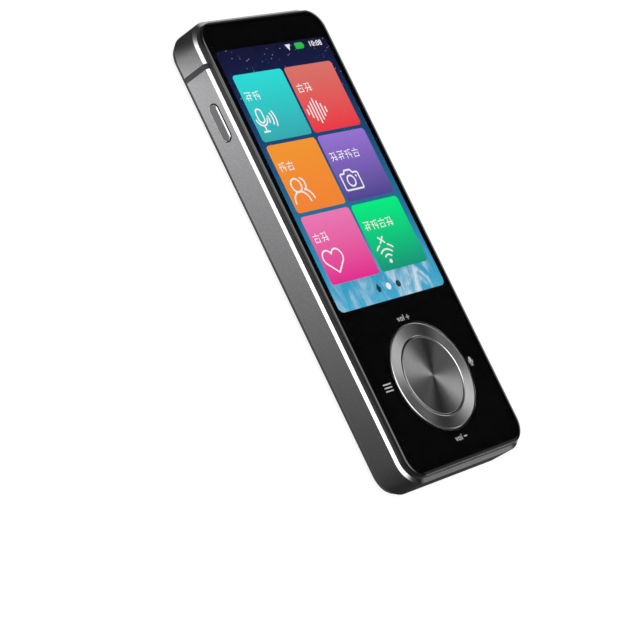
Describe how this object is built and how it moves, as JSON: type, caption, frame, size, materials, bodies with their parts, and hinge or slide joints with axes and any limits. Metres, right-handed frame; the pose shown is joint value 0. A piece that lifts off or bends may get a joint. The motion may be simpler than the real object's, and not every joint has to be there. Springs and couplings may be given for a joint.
{
  "type": "handheld translator",
  "caption": "Slim bar-shaped handheld translator with a touch screen, a tipping key ring round a centre key, a side key, and a camera, light and speaker in its back.",
  "frame": {"origin": "middle of the flat back face, on which the device lies", "axes": "+X to the right when looking at the screen, +Y towards the camera end, +Z out of the screen"},
  "size_m": [0.0464, 0.1146, 0.0106],
  "materials": {
    "frame_metal": "bead-blasted dark grey anodising with polished bright chamfers",
    "band_plastic": "matt dark grey moulded plastic",
    "bezel_plastic": "satin dark grey moulded plastic",
    "cover_glass": "clear polished glass with a rolled edge",
    "black_print": "black printed bonding film",
    "display": "lit display panel",
    "display_back": "plain folded metal",
    "cable_film": "amber flexible circuit film",
    "plate_metal": "plain die-cast metal",
    "ring_metal": "satin spun metal with bright chamfers",
    "button_metal": "radially brushed dark metal",
    "side_key_metal": "satin dark grey anodised metal",
    "spring_steel": "bright spring steel",
    "key_plastic": "matt moulded plastic",
    "board": "green solder mask on a circuit board",
    "chip": "black moulded chip package",
    "shield_metal": "tinned steel sheet",
    "battery_foil": "dark foil pouch",
    "tape": "white double-sided tape",
    "speaker_plastic": "matt moulded plastic",
    "driver_metal": "dark metal driver frame",
    "mesh_fabric": "black acoustic mesh",
    "camera_black": "matt black",
    "lens_glass": "coated lens glass",
    "window_glass": "clear window glass",
    "led_phosphor": "yellow phosphor on a white package",
    "mic_metal": "gold-plated microphone can",
    "seal_rubber": "black rubber",
    "port_metal": "bright steel shell",
    "carrier_plastic": "white antenna carrier plastic",
    "screw_steel": "plain steel screws"
  },
  "bodies": {
    "frame": {"main_housing": "frame_metal", "top_cap": "frame_metal", "antenna_band": "band_plastic", "front_bezel": "bezel_plastic", "cover_glass": "cover_glass", "screen_mask": "black_print", "display_panel": "display", "backlight": "display_back", "display_flex": "cable_film", "mid_plate": "plate_metal", "key_base": "key_plastic", "key_domes": "spring_steel", "key_board": "board", "key_flex": "cable_film", "side_switch": "shield_metal", "side_switch_flex": "cable_film", "main_board": "board", "processor_chip": "chip", "radio_chip": "chip", "processor_shield": "shield_metal", "radio_shield": "shield_metal", "battery": "battery_foil", "battery_circuit": "board", "battery_tape": "tape", "battery_flex": "cable_film", "speaker_box": "speaker_plastic", "speaker_driver": "driver_metal", "speaker_mesh": "mesh_fabric", "camera_module": "camera_black", "camera_lens": "lens_glass", "camera_shroud": "camera_black", "camera_window": "window_glass", "camera_flex": "cable_film", "flash_led": "led_phosphor", "flash_window": "window_glass", "microphone": "mic_metal", "microphone_gasket": "seal_rubber", "usb_port": "port_metal", "usb_tongue": "key_plastic", "antenna_carrier": "carrier_plastic", "antenna_flex": "cable_film", "frame_screws": "screw_steel", "board_screws": "screw_steel"},
    "web": {"ring_web": "spring_steel"},
    "ring": {"navigation_ring": "ring_metal"},
    "centre_key": {"centre_button": "button_metal"},
    "side_key": {"side_button": "side_key_metal"}
  },
  "joints": [
    {"name": "ring_up_down", "type": "hinge", "parent": "frame", "child": "web", "pos_m": [0, -0.03565, 0.0087], "axis": [1, 0, 0], "range_deg": [-1.5, 1.5], "stiffness_Nm_per_rad": 0.9},
    {"name": "ring_left_right", "type": "hinge", "parent": "web", "child": "ring", "pos_m": [0, -0.03565, 0.0087], "axis": [0, 1, 0], "range_deg": [-1.5, 1.5], "stiffness_Nm_per_rad": 0.9},
    {"name": "centre_press", "type": "slide", "parent": "frame", "child": "centre_key", "axis": [0, 0, -1], "range_m": [0, 0.00035], "stiffness_N_per_m": 4500},
    {"name": "side_press", "type": "slide", "parent": "frame", "child": "side_key", "axis": [1, 0, 0], "range_m": [0, 0.0003], "stiffness_N_per_m": 5500}
  ]
}
